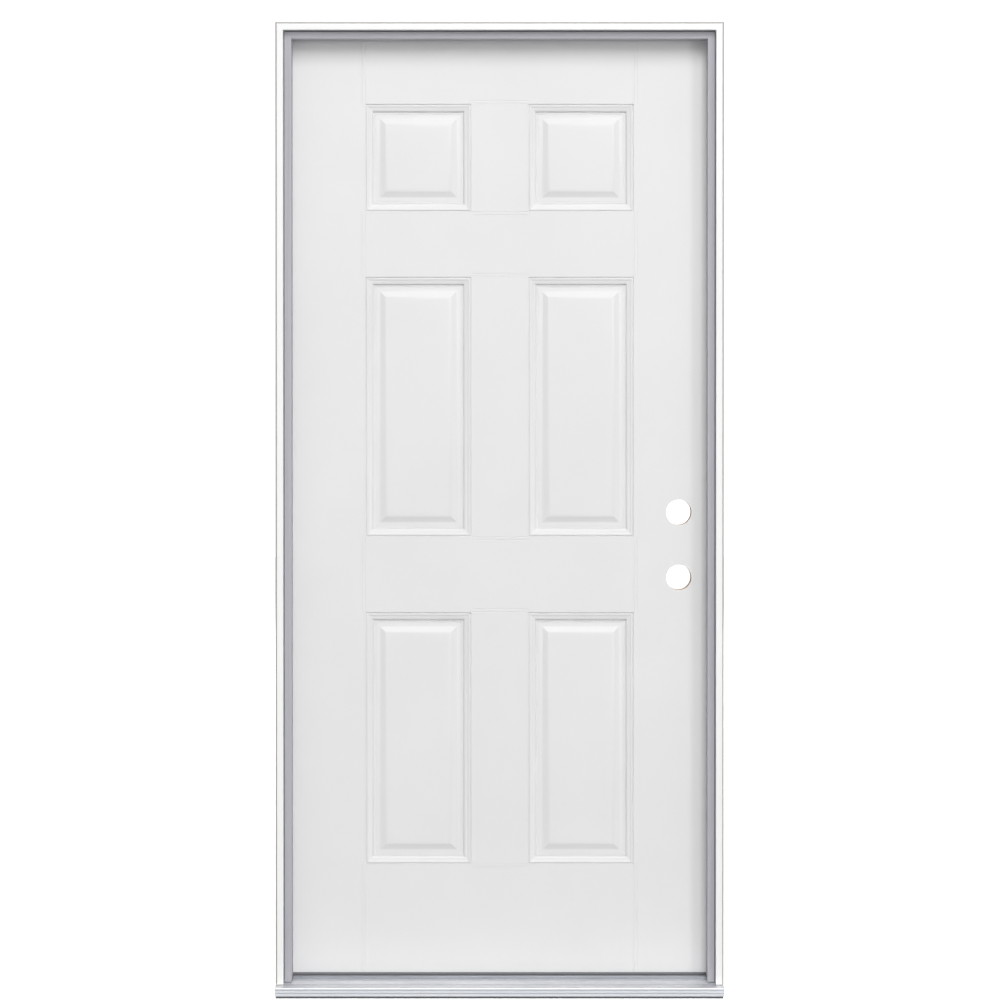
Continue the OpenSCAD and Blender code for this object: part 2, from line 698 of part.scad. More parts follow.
module corner_pad_hinge_side() color("#55565a")
  translate([jamb_t - half_w, slab_y + 4, cap_h + 2]) cube([pad_t, pad_w, pad_h]);
module corner_pad_strike_side() color("#55565a")
  translate([half_w - jamb_t - pad_lock_t, slab_y + 4, cap_h + 2])
    cube([pad_lock_t, pad_w, pad_h]);

// ---- sill ----

function deck_z(y) = nose_h + (deck_h - nose_h) * (y - nose_y - nose_r) / (cap_y0 - nose_y - nose_r);

module deck_outline() {
  t = deck_t;
  f = nose_foot;
  difference() {
    polygon([[nose_y, f], [nose_y, nose_h - nose_r], [nose_y + 0.4, nose_h - 0.4],
      [nose_y + nose_r, nose_h], [cap_y0, deck_h], [cap_y1 - 6, deck_h],
      [cap_y1 - 6, deck_h - t], [cap_y0, deck_h - t],
      [nose_y + t + 1, deck_z(nose_y + t + 1) - t], [nose_y + t, nose_h - t - 2],
      [nose_y + t, f + t], [y_out - 1, f + t], [y_out - 1, f]]);
    for (k = [0.28, 0.64]) translate([nose_y - 1, nose_h - (nose_h - f) * k - 0.9])
      square([1.8, 1.8]);
    for (k = [0.24, 0.62]) translate([cap_y0 + (nose_y - cap_y0) * k - 1.4,
      deck_z(cap_y0 + (nose_y - cap_y0) * k) - 0.8]) square([2.8, 3]);
    for (i = [0:3]) translate([cap_y0 + (nose_y - cap_y0) * (0.33 + i * 0.065),
      deck_z(cap_y0 + (nose_y - cap_y0) * (0.33 + i * 0.065)) - 0.3]) square([1.2, 3]);
  }
}

// What the jambs, stops and seals take out of the sill between z0 and z1.
module around_jambs(z0, z1, seals) for (s = [0, 1]) mirror([s, 0, 0]) upright(z0, z1) {
  translate([-1, y_out]) square([lip_t + 1, lip_d + 1]);
  translate([-1, stop_y0]) square([stop_in + 1, stop_y1 - stop_y0]);
  translate([-1, stop_y1 - 1]) square([jamb_t + 1, y_in - stop_y1 + 2]);
  if (seals) translate([jamb_t - 1, cover_y - 0.4])
    square([seal_in - jamb_t + 1.4, slab_y - cover_y + 0.4]);
}

module sill_deck() color("#c9ccd1") difference() {
  translate([-half_w, 0, 0]) rotate([90, 0, 90]) linear_extrude(unit_w) deck_outline();
  around_jambs(-1, 60, false);
  cap_screw_set(0.3);
}

module sill_substrate() color("#8f8a80") difference() {
  translate([-half_w, 0, 0]) rotate([90, 0, 90]) linear_extrude(unit_w) polygon([
    [y_out, 0], [y_in, 0], [y_in, cap_h - 4], [cap_y1 + 0.5, cap_h - 4],
    [cap_y1 + 0.5, deck_h - deck_t], [cap_y0, deck_h - deck_t],
    [y_out, deck_z(y_out) - deck_t]]);
  around_jambs(-1, 60, false);
  sill_screw_set(screw_clear);
  cap_screw_set(screw_clear);
}

module cap_outline() {
  r = cap_r;
  h = cap_h - deck_h;
  w = cap_y1 - cap_y0;
  translate([cap_y0, deck_h]) difference() {
    union() {
      square([w, h - r]);
      translate([r, 0]) square([w - 2 * r, h]);
      for (x = [r, w - r]) translate([x, h - r]) circle(r = r);
    }
    translate([4, -1]) square([w - 8, h - 2]);
  }
}

module sill_cap() color("#b9bcc1") difference() {
  translate([-half_w, 0, 0]) rotate([90, 0, 90]) linear_extrude(unit_w) cap_outline();
  around_jambs(deck_h - 1, cap_h + 5, true);
  at_cap_screws() cylinder(r = long_head_r + 0.3, h = 60, center = true);
}

module at_cap_screws() for (i = [-1.5:1:1.5])
  translate([i * (slab_w - 2 * cap_screw_end) / 3, slab_y + cap_screw_in, cap_h - 0.5]) children();
module cap_screw_set(grow) at_cap_screws() rotate([0, 90, 0])
  screw(cap_screw, grow, long_r, long_head_r - 0.1);
module sill_cap_screws() color("#8d8f92") at_cap_screws() rotate([0, 90, 0])
  crossed_screw(cap_screw, long_r, long_head_r - 0.1);

module sill_end_plugs() color("#a9b3a6") for (s = [0, 1]) mirror([s, 0, 0]) {
  a = nose_y + deck_t + plug_clear;
  b = y_out - 1.2;
  c = deck_t + plug_clear;
  translate([-half_w, 0, 0]) rotate([90, 0, 90]) linear_extrude(plug_len) polygon([
    [a, nose_foot + c], [b, nose_foot + c], [b, deck_z(b) - c], [a + 1.2, deck_z(a + 1.2) - c],
    [a, nose_h - c - 2.4]]);
}

module sill_nose_seal() color("#3c3d40")
  translate([2 - half_w, nose_y + 4, 0]) cube([unit_w - 4, nose_out - 5, nose_foot]);

skin_exterior();
skin_interior();
hinge_stile();
lock_stile();
top_rail();
bottom_rail();
lock_block();
foam_core();
door_sweep();
hinge_leaf_door_top();
hinge_leaf_door_middle();
hinge_leaf_door_bottom();
hinge_screws_door();
jamb_hinge_side();
jamb_strike_side();
jamb_head();
stop_hinge_side();
stop_strike_side();
stop_head();
cladding_hinge_side();
cladding_strike_side();
cladding_head();
seal_hinge_side();
seal_strike_side();
seal_head();
hinge_leaf_frame_top();
hinge_leaf_frame_middle();
hinge_leaf_frame_bottom();
hinge_pin_top();
hinge_pin_middle();
hinge_pin_bottom();
hinge_screws_frame();
sill_deck();
sill_substrate();
sill_cap();
sill_cap_screws();
sill_end_plugs();
sill_nose_seal();
corner_pad_hinge_side();
corner_pad_strike_side();
strike_plate();
strike_screws();
head_screws();
sill_screws();
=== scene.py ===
"""Panelled entry door in its frame: moulded skins, vinyl trim, pine jambs, aluminium sill."""

import json
import math

import bmesh
import bpy
from mathutils import Matrix, Vector


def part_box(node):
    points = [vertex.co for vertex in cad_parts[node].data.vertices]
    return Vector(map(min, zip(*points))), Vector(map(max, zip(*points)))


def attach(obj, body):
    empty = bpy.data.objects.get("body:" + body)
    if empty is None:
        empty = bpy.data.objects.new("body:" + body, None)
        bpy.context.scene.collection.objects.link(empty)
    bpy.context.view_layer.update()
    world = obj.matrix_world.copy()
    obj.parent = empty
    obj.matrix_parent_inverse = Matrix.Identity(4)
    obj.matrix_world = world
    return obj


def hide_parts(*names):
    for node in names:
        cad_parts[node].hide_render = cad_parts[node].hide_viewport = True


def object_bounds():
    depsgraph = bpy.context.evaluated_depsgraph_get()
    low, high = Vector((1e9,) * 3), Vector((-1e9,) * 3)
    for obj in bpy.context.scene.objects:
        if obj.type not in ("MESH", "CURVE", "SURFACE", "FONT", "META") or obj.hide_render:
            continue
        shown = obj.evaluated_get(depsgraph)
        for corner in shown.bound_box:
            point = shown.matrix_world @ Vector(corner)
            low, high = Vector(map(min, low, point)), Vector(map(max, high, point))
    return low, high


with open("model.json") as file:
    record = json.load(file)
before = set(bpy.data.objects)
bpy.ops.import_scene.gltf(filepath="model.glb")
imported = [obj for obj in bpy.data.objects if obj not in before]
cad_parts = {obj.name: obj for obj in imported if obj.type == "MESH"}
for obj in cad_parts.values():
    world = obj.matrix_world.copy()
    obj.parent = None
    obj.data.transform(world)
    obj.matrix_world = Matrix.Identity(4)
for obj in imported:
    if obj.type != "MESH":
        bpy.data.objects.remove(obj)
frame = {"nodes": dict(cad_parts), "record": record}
cad_low, cad_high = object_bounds()

MM = 0.001
NODES = frame["nodes"]

# ---------------------------------------------------------------- sizes, in metres

slab_low, slab_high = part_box("skin_exterior")
_, inner_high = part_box("skin_interior")
slab_left, slab_bottom = slab_low.x, slab_low.z
slab_wide = slab_high.x - slab_low.x
slab_tall = slab_high.z - slab_low.z
outside_face, inside_face = slab_low.y, inner_high.y
skin_thick = 2 * MM

stile = 166.6 * MM
mullion = 121.7 * MM
bottom_rail, lower_panel, lock_rail = 232.4 * MM, 540.2 * MM, 162.5 * MM
frieze_rail, top_panel, top_rail = 139.9 * MM, 230.2 * MM, 145.0 * MM
panel_wide = (slab_wide - 2 * stile - mullion) / 2
middle_panel = (
    slab_tall - bottom_rail - lower_panel - lock_rail - frieze_rail - top_panel - top_rail
)
row_starts = [
    bottom_rail,
    bottom_rail + lower_panel + lock_rail,
    bottom_rail + lower_panel + lock_rail + middle_panel + frieze_rail,
]
row_heights = [lower_panel, middle_panel, top_panel]
column_starts = [stile, stile + panel_wide + mullion]

mount = {m["name"]: m for m in frame["record"]["mounts"]}
bores = [
    Vector(mount[name]["pos_m"]) for name in ("lockset_bore", "deadbolt_bore")
]
bore_radius = mount["lockset_bore"]["dims"]["r_mm"] * MM

# just behind the jambs' front faces
behind_jamb_front = -57.8 * MM
shoulder_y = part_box("stop_head")[0].y
nose_front, cap_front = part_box("sill_deck")[0].y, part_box("sill_cap")[0].y
nose_foot, nose_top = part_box("sill_deck")[0].z, 23 * MM
# painted shade lines run along the sill's grooves: two in the deck, placed by y, and two in the
# nose, placed by z
sill_groove_shade = [("y", cap_front + (nose_front - cap_front) * k, 1.4 * MM) for k in (0.24, 0.62)]
sill_groove_shade += [("z", nose_top - (nose_top - nose_foot) * k, 1.0 * MM) for k in (0.28, 0.64)]

# ---------------------------------------------------------------- materials


def colour(hex_code):
    """An sRGB hex colour as the linear RGBA that the shaders want."""
    channels = [int(hex_code[i : i + 2], 16) / 255 for i in (1, 3, 5)]
    linear = [
        c / 12.92 if c <= 0.04045 else ((c + 0.055) / 1.055) ** 2.4 for c in channels
    ]
    return (*linear, 1.0)


def add(tree, kind, inputs=None, **settings):
    """Adds a node, sets its options, and fills or links its inputs."""
    made = tree.nodes.new(kind)
    for option, value in settings.items():
        setattr(made, option, value)
    for socket, value in (inputs or {}).items():
        if isinstance(value, bpy.types.NodeSocket):
            tree.links.new(value, made.inputs[socket])
        else:
            made.inputs[socket].default_value = value
    return made


def new_material(name):
    """An empty material with its shader, output and an object-space position."""
    material = bpy.data.materials.new(name)
    material.use_nodes = True
    tree = material.node_tree
    tree.nodes.clear()
    shader = add(tree, "ShaderNodeBsdfPrincipled")
    add(tree, "ShaderNodeOutputMaterial", {"Surface": shader.outputs[0]})
    place = add(tree, "ShaderNodeTexCoord").outputs["Object"]
    return material, tree, shader, place


def grit(tree, place, size_mm, detail=2.0, stretch=(1, 1, 1)):
    """Noise whose blotches are about size_mm across, drawn out along an axis by stretch."""
    if stretch != (1, 1, 1):
        place = add(
            tree,
            "ShaderNodeMapping",
            {"Vector": place, "Scale": tuple(1 / s for s in stretch)},
        ).outputs[0]
    noise = add(
        tree,
        "ShaderNodeTexNoise",
        {"Vector": place, "Scale": 1000 / size_mm, "Detail": detail, "Roughness": 0.55},
    )
    return noise.outputs[0]


def spread(tree, value, low, high, to_low, to_high):
    """Maps value from low..high to to_low..to_high."""
    return add(
        tree,
        "ShaderNodeMapRange",
        {0: value, 1: low, 2: high, 3: to_low, 4: to_high},
    ).outputs[0]


def blend_colours(tree, factor, first, second):
    first = colour(first) if isinstance(first, str) else first
    second = colour(second) if isinstance(second, str) else second
    return add(
        tree,
        "ShaderNodeMix",
        {0: factor, 6: first, 7: second},
        data_type="RGBA",
    ).outputs[2]


def bump(tree, height, depth_mm, strength=1.0, under=None):
    inputs = {"Height": height, "Distance": depth_mm * MM, "Strength": strength}
    if under is not None:
        inputs["Normal"] = under
    return add(tree, "ShaderNodeBump", inputs).outputs[0]


def link(tree, shader, **sockets):
    for name, value in sockets.items():
        socket = shader.inputs[name.replace("_", " ").title().replace("Ior", "IOR")]
        if isinstance(value, bpy.types.NodeSocket):
            tree.links.new(value, socket)
        else:
            socket.default_value = value


def along(axis, length):
    """Stretch factors that draw a pattern out along one axis."""
    return tuple(length if a == axis else 1 for a in "xyz")


# Compression-moulded fibreglass skin under white factory primer: satin, smooth, with the faint
# orange peel of a sprayed coat and a very slight unevenness of tone.
def moulded_skin():
    material, tree, shader, place = new_material("primed_fibreglass")
    tone = grit(tree, place, 260, 3)
    peel = grit(tree, place, 2.4, 2)
    fine = grit(tree, place, 0.9, 2)
    link(
        tree,
        shader,
        base_color=blend_colours(tree, spread(tree, tone, 0.3, 0.7, 0, 1), "#DFDFDF", "#E2E2E2"),
        roughness=spread(tree, fine, 0.3, 0.7, 0.40, 0.50),
        ior=1.5,
        normal=bump(tree, peel, 0.05, 0.6, bump(tree, fine, 0.02, 0.4)),
    )
    return material


# Rigid white PVC, extruded: smooth and slightly glossy, with fine die lines along its length.
def white_vinyl(axis):
    material, tree, shader, place = new_material("white_vinyl_" + axis)
    lines = grit(tree, place, 0.8, 2, along(axis, 400))
    tone = grit(tree, place, 90, 2, along(axis, 4))
    link(
        tree,
        shader,
        base_color=blend_colours(tree, spread(tree, tone, 0.3, 0.7, 0, 1), "#F0F0F0", "#F4F4F4"),
        roughness=spread(tree, lines, 0.3, 0.7, 0.28, 0.38),
        ior=1.53,
        normal=bump(tree, lines, 0.03, 0.5),
    )
    return material


# Cool grey PVC seal, extruded and softer than the cladding: matt, with drawn-out striations.
def grey_vinyl(axis):
    material, tree, shader, place = new_material("grey_vinyl_" + axis)
    lines = grit(tree, place, 1.6, 3, along(axis, 300))
    broad = grit(tree, place, 5, 2, along(axis, 120))
    shade = blend_colours(tree, spread(tree, lines, 0.3, 0.7, 0, 1), "#A5A4AA", "#B7B6BD")
    link(
        tree,
        shader,
        base_color=blend_colours(
            tree, spread(tree, broad, 0.35, 0.65, 0, 0.5), shade, "#AFAEB5"
        ),
        roughness=spread(tree, lines, 0.3, 0.7, 0.50, 0.62),
        ior=1.5,
        normal=bump(tree, lines, 0.12, 0.6),
    )
    return material


def wood_grain(tree, place, axis, light, dark, joint_mm):
    """Pine in finger-jointed blocks: each block has its own tone and its own grain."""
    x, y, z = add(tree, "ShaderNodeSeparateXYZ", {0: place}).outputs[:3]
    length = {"x": x, "y": y, "z": z}[axis]
    # the zigzag of the glued fingers, 4 mm pitch and 10 mm deep
    zigzag = add(tree, "ShaderNodeMath", {0: y, 1: 4 * MM}, operation="PINGPONG").outputs[0]
    zigzag = add(tree, "ShaderNodeMath", {0: zigzag, 1: 2.5}, operation="MULTIPLY").outputs[0]
    block = add(tree, "ShaderNodeMath", {0: length, 1: zigzag}, operation="ADD").outputs[0]
    block = add(tree, "ShaderNodeMath", {0: block, 1: joint_mm * MM}, operation="DIVIDE").outputs[0]
    number = add(tree, "ShaderNodeMath", {0: block}, operation="FLOOR").outputs[0]
    part = add(tree, "ShaderNodeMath", {0: block}, operation="FRACT").outputs[0]
    own = add(tree, "ShaderNodeTexWhiteNoise", {"W": number}, noise_dimensions="1D").outputs[0]
    shift = add(tree, "ShaderNodeCombineXYZ", {0: own, 1: own, 2: own}).outputs[0]
    moved = add(
        tree, "ShaderNodeVectorMath", {0: place, 1: shift}, operation="ADD"
    ).outputs[0]
    rings = grit(tree, moved, 5, 3, along(axis, 30))
    pores = grit(tree, moved, 0.9, 2, along(axis, 60))
    tint = spread(tree, own, 0, 1, -0.18, 0.18)
    depth = add(
        tree,
        "ShaderNodeMath",
        {0: spread(tree, rings, 0.35, 0.65, 0.1, 0.9), 1: tint},
        operation="ADD",
    ).outputs[0]
    face = blend_colours(tree, depth, light, dark)
    glue = add(tree, "ShaderNodeMath", {0: part, 1: 0.003}, operation="LESS_THAN").outputs[0]
    face = blend_colours(
        tree,
        add(tree, "ShaderNodeMath", {0: glue, 1: 0.5}, operation="MULTIPLY").outputs[0],
        face,
        "#7A5E3C",
    )
    return face, rings, pores


# Finger-jointed pine jamb: the faces that show in use carry white primer, the back is bare
# rough-planed wood, the narrow strip left outside the cladding is a greyer wood tone, and a dark
# line of painted shade fills the corner of the rebate, between the cladding and the grey seal,
# painted darker on the head jamb for the deeper shade there.
def primed_pine(axis):
    material, tree, shader, place = new_material("primed_pine_" + axis)
    near = 0.1 * MM
    x, y, z = add(tree, "ShaderNodeSeparateXYZ", {0: place}).outputs[:3]
    wide = add(tree, "ShaderNodeMath", {0: x}, operation="ABSOLUTE").outputs[0]
    back = add(tree, "ShaderNodeMath", {0: wide, 1: cad_high.x - near}, operation="GREATER_THAN")
    top = add(tree, "ShaderNodeMath", {0: z, 1: cad_high.z - near}, operation="GREATER_THAN")
    under = add(tree, "ShaderNodeMath", {0: z, 1: near}, operation="LESS_THAN")
    front = add(
        tree, "ShaderNodeMath", {0: y, 1: behind_jamb_front}, operation="LESS_THAN"
    )
    bare = back.outputs[0]
    for other in (top, under, front):
        bare = add(
            tree, "ShaderNodeMath", {0: bare, 1: other.outputs[0]}, operation="MAXIMUM"
        ).outputs[0]
    wood, rings, pores = wood_grain(tree, place, axis, "#DCC59B", "#BE9A68", 410)
    wood = blend_colours(tree, front.outputs[0], wood, "#A9A7A2")
    brush = grit(tree, place, 3, 2, along(axis, 12))
    paint = blend_colours(tree, spread(tree, brush, 0.3, 0.7, 0, 1), "#E9E9E6", "#EEEEEC")
    # painted shade: a dark line along the rebate's shoulder, darker on the head jamb, stands for
    # the shadow in that corner
    rebate_shade_line = add(
        tree, "ShaderNodeMath", {0: y, 1: shoulder_y, 2: 0.3 * MM}, operation="COMPARE"
    ).outputs[0]
    paint = blend_colours(tree, rebate_shade_line, paint, "#43464C" if axis == "x" else "#7E8087")
    link(
        tree,
        shader,
        base_color=blend_colours(tree, bare, paint, wood),
        roughness=spread(tree, bare, 0, 1, 0.48, 0.74),
        ior=1.5,
        normal=bump(tree, pores, 0.1, 0.5, bump(tree, rings, 0.08, 0.3)),
    )
    return material


# Bare kiln-dried pine, planed: the slab's edge stiles and rails.
def bare_pine(axis):
    material, tree, shader, place = new_material("bare_pine_" + axis)
    wood, rings, pores = wood_grain(tree, place, axis, "#D9C093", "#B98F5C", 520)
    link(
        tree,
        shader,
        base_color=wood,
        roughness=spread(tree, pores, 0.3, 0.7, 0.58, 0.72),
        ior=1.5,
        normal=bump(tree, pores, 0.12, 0.6, bump(tree, rings, 0.08, 0.4)),
    )
    return material


# Laminated veneer lumber: 3 mm veneers stacked through the thickness, with dark glue lines.
def veneer_block():
    material, tree, shader, place = new_material("veneer_block")
    y = add(tree, "ShaderNodeSeparateXYZ", {0: place}).outputs[1]
    layer = add(tree, "ShaderNodeMath", {0: y, 1: 3 * MM}, operation="DIVIDE").outputs[0]
    part = add(tree, "ShaderNodeMath", {0: layer}, operation="FRACT").outputs[0]
    number = add(tree, "ShaderNodeMath", {0: layer}, operation="FLOOR").outputs[0]
    own = add(tree, "ShaderNodeTexWhiteNoise", {"W": number}, noise_dimensions="1D").outputs[0]
    glue = add(tree, "ShaderNodeMath", {0: part, 1: 0.1}, operation="LESS_THAN").outputs[0]
    grain = grit(tree, place, 2, 3, (1, 1, 25))
    wood = blend_colours(tree, own, "#C9A97A", "#B18D5D")
    wood = blend_colours(tree, spread(tree, grain, 0.35, 0.65, 0, 0.5), wood, "#95703F")
    link(
        tree,
        shader,
        base_color=blend_colours(tree, glue, wood, "#5F4527"),
        roughness=0.7,
        ior=1.5,
        normal=bump(tree, grain, 0.15, 0.6),
    )
    return material


# Rigid polyurethane foam, cut: closed cells about 0.5 mm across, drawn at 1.5 mm so they show.
def rigid_foam():
    material, tree, shader, place = new_material("rigid_foam")
    cells = add(
        tree, "ShaderNodeTexVoronoi", {"Vector": place, "Scale": 1000 / 1.5}
    ).outputs["Distance"]
    link(
        tree,
        shader,
        base_color=blend_colours(tree, cells, "#E9DCAE", "#F3EACB"),
        roughness=0.9,
        ior=1.45,
        normal=bump(tree, cells, 0.3, 0.8),
    )
    return material


# Mill-finish aluminium, extruded along the sill: cool grey, with die lines and a dull sheen. Where
# there are grooves, the deck above the nose top is painted brighter as painted light, and each
# groove gets a painted grey line of shade.
def mill_aluminium(name, base, streak, rough, shaded_grooves=()):
    material, tree, shader, place = new_material(name)
    _, y, z = add(tree, "ShaderNodeSeparateXYZ", {0: place}).outputs[:3]
    lines = grit(tree, place, 0.7, 3, along("x", 600))
    stain = grit(tree, place, 45, 3, along("x", 5))
    metal = blend_colours(tree, spread(tree, lines, 0.3, 0.7, 0, 1), base, streak)
    if shaded_grooves:
        # painted highlight: the deck above the nose top is painted brighter, for the light it
        # catches
        painted_top_light = spread(tree, z, nose_top - 1.5 * MM, nose_top + 0.5 * MM, 0, 1)
        metal = blend_colours(tree, painted_top_light, metal, "#E6E7EA")
    # painted shade: a grey line down the middle of each groove
    for axis, middle, half in shaded_grooves:
        line = add(
            tree,
            "ShaderNodeMath",
            {0: {"y": y, "z": z}[axis], 1: middle, 2: half},
            operation="COMPARE",
        ).outputs[0]
        metal = blend_colours(tree, line, metal, "#9C9EA3")
    link(
        tree,
        shader,
        base_color=blend_colours(tree, spread(tree, stain, 0.45, 0.7, 0, 0.25), metal, "#A9ACB1"),
        metallic=1.0,
        roughness=spread(tree, lines, 0.3, 0.7, rough - 0.05, rough + 0.07),
        normal=bump(tree, lines, 0.04, 0.6),
    )
    return material


# Satin-nickel plated steel: brushed along the leaf, warm grey, with a soft broad highlight.
def satin_nickel():
    material, tree, shader, place = new_material("satin_nickel")
    brush = grit(tree, place, 0.35, 3, along("z", 40))
    smudge = grit(tree, place, 16, 3)
    link(
        tree,
        shader,
        base_color=blend_colours(tree, spread(tree, brush, 0.3, 0.7, 0, 1), "#989389", "#ACA79E"),
        metallic=1.0,
        roughness=spread(tree, smudge, 0.3, 0.7, 0.27, 0.38),
        normal=bump(tree, brush, 0.02, 0.5),
    )
    return material


# Zinc-plated steel screws: bright, slightly blue, with the mottling of the plating.
def zinc_plate():
    material, tree, shader, place = new_material("zinc_plate")
    mottle = grit(tree, place, 1.6, 3)
    link(
        tree,
        shader,
        base_color=blend_colours(tree, spread(tree, mottle, 0.3, 0.7, 0, 1), "#B4B6B6", "#CFD1CF"),
        metallic=1.0,
        roughness=spread(tree, mottle, 0.3, 0.7, 0.25, 0.42),
        normal=bump(tree, mottle, 0.02, 0.4),
    )
    return material


# Flexible PVC or foam rubber, extruded: dark, matt, slightly dusty.
def soft_vinyl(name, base, dust, axis="x", rough=0.62):
    material, tree, shader, place = new_material(name)
    lines = grit(tree, place, 1.1, 2, along(axis, 200))
    specks = grit(tree, place, 3, 4)
    link(
        tree,
        shader,
        base_color=blend_colours(tree, spread(tree, specks, 0.45, 0.75, 0, 0.6), base, dust),
        roughness=spread(tree, lines, 0.3, 0.7, rough - 0.06, rough + 0.08),
        ior=1.5,
        normal=bump(tree, lines, 0.06, 0.5),
    )
    return material


# Moulded wood-flour composite: dense, brown-grey, with pale flecks of wood.
def wood_composite():
    material, tree, shader, place = new_material("wood_composite")
    flecks = grit(tree, place, 1.8, 4, (3, 1, 1))
    link(
        tree,
        shader,
        base_color=blend_colours(tree, spread(tree, flecks, 0.4, 0.7, 0, 1), "#7F786C", "#A89C86"),
        roughness=0.72,
        ior=1.5,
        normal=bump(tree, flecks, 0.12, 0.5),
    )
    return material


skin_finish = moulded_skin()
nickel = satin_nickel()
zinc = zinc_plate()
finishes = {
    "hinge_stile": bare_pine("z"),
    "lock_stile": bare_pine("z"),
    "top_rail": bare_pine("x"),
    "bottom_rail": bare_pine("x"),
    "lock_block": veneer_block(),
    "foam_core": rigid_foam(),
    "door_sweep": soft_vinyl("sweep_vinyl", "#77787C", "#8B8C8F"),
    # the dark seal strip under the sill's nose also carries painted shade: its dark colour stands
    # for the contact shade along the sill's foot
    "sill_nose_seal": soft_vinyl("dark_vinyl", "#55575B", "#6A6C70"),
    "corner_pad_hinge_side": soft_vinyl("pad_foam", "#3F4043", "#5A5B5E", "z", 0.8),
    "corner_pad_strike_side": soft_vinyl("pad_foam_lock", "#3F4043", "#5A5B5E", "z", 0.8),
    "cladding_head": white_vinyl("x"),
    "seal_head": grey_vinyl("x"),
    "jamb_head": primed_pine("x"),
    "stop_head": primed_pine("x"),
    "sill_deck": mill_aluminium("mill_aluminium", "#AFB1B5", "#BFC1C5", 0.50, sill_groove_shade),
    # painted shade: the cap is the deck's mill aluminium painted darker, for the shade it sits in
    # under the door
    "sill_cap": mill_aluminium("cap_aluminium", "#85878C", "#96989D", 0.50),
    "sill_substrate": wood_composite(),
    "sill_end_plugs": soft_vinyl("plug_vinyl", "#9FAA9C", "#B4BCB0", "y", 0.55),
    "strike_plate": nickel,
}
upright_vinyl, upright_seal, upright_pine = white_vinyl("z"), grey_vinyl("z"), primed_pine("z")
for side in ("hinge_side", "strike_side"):
    finishes["cladding_" + side] = upright_vinyl
    finishes["seal_" + side] = upright_seal
    finishes["jamb_" + side] = upright_pine
    finishes["stop_" + side] = upright_pine
for name in NODES:
    if "screws" in name:
        finishes[name] = zinc
    elif name.startswith("hinge_leaf") or name.startswith("hinge_pin"):
        finishes[name] = nickel

for name, finish in finishes.items():
    slots = NODES[name].data.materials
    slots.clear()
    slots.append(finish)

# ---------------------------------------------------------------- softened edges


def soften(name, width_mm):
    """Welds a node's loose triangles and rounds its edges, both as modifiers."""
    piece = NODES[name]
    weld = piece.modifiers.new("weld", "WELD")
    weld.merge_threshold = 0.005 * MM
    edge = piece.modifiers.new("edges", "BEVEL")
    edge.width = width_mm * MM
    edge.segments = 2
    edge.limit_method = "ANGLE"
    edge.angle_limit = math.radians(30)
    edge.harden_normals = False
    edge.use_clamp_overlap = True


for name, width_mm in {
    "cladding_head": 0.3,
    "cladding_hinge_side": 0.3,
    "cladding_strike_side": 0.3,
    "jamb_head": 0.5,
    "jamb_hinge_side": 0.5,
    "jamb_strike_side": 0.5,
    "sill_cap": 0.4,
    "hinge_stile": 0.6,
    "lock_stile": 0.6,
    "strike_plate": 0.3,
}.items():
    soften(name, width_mm)

# ---------------------------------------------------------------- moulded skins


def moulding():
    """Steps of (inward, depth) in millimetres round a panel, from its outer line to its field."""
    steps = [(0.2, 2.2), (0.5, 3.1), (1.9, 3.1), (2.2, 2.2)]
    for i in range(8):  # bead, rising out of the quirk
        turn = math.radians(236 + i * 9)
        steps.append((4.2 + 2.9 * math.cos(turn), 3.5 + 2.9 * math.sin(turn)))
    for i in range(1, 9):  # slope, a shallow ogee from the bead down to its foot
        t = i / 8
        steps.append((6.1 + 8.6 * t, 1.35 + 3.0 * (t + 0.04 * math.sin(math.tau * t))))
    steps += [(15.6, 4.8), (15.8, 5.5), (16.1, 8.3), (16.4, 9.4), (17.4, 9.5), (17.8, 8.7)]
    steps += [(19, 8.3), (20.6, 8.5), (20.9, 9.6), (21.8, 9.6), (22.2, 8.7), (26, 8.6)]
    for i in range(1, 7):  # foot of the bevel, a cove
        t = i / 6
        steps.append((26 + 7 * t, 8.6 - 1.55 * t**1.9))
    steps.append((38, 5.05))
    for i in range(8):  # the bevel's top rolls over into the field
        t = i / 7
        steps.append((42 + 8 * t, 1.8 + 1.45 * (1 - t) ** 2.1))
    return steps


def groove_lines(edge, sign):
    """The four cuts of a pair of shallow grooves that lie on one side of an edge."""
    return [edge + sign * d * MM for d in (0, 2, 6, 8)]


def in_span(value, span):
    return span[0] - 1e-6 < value < span[1] + 1e-6


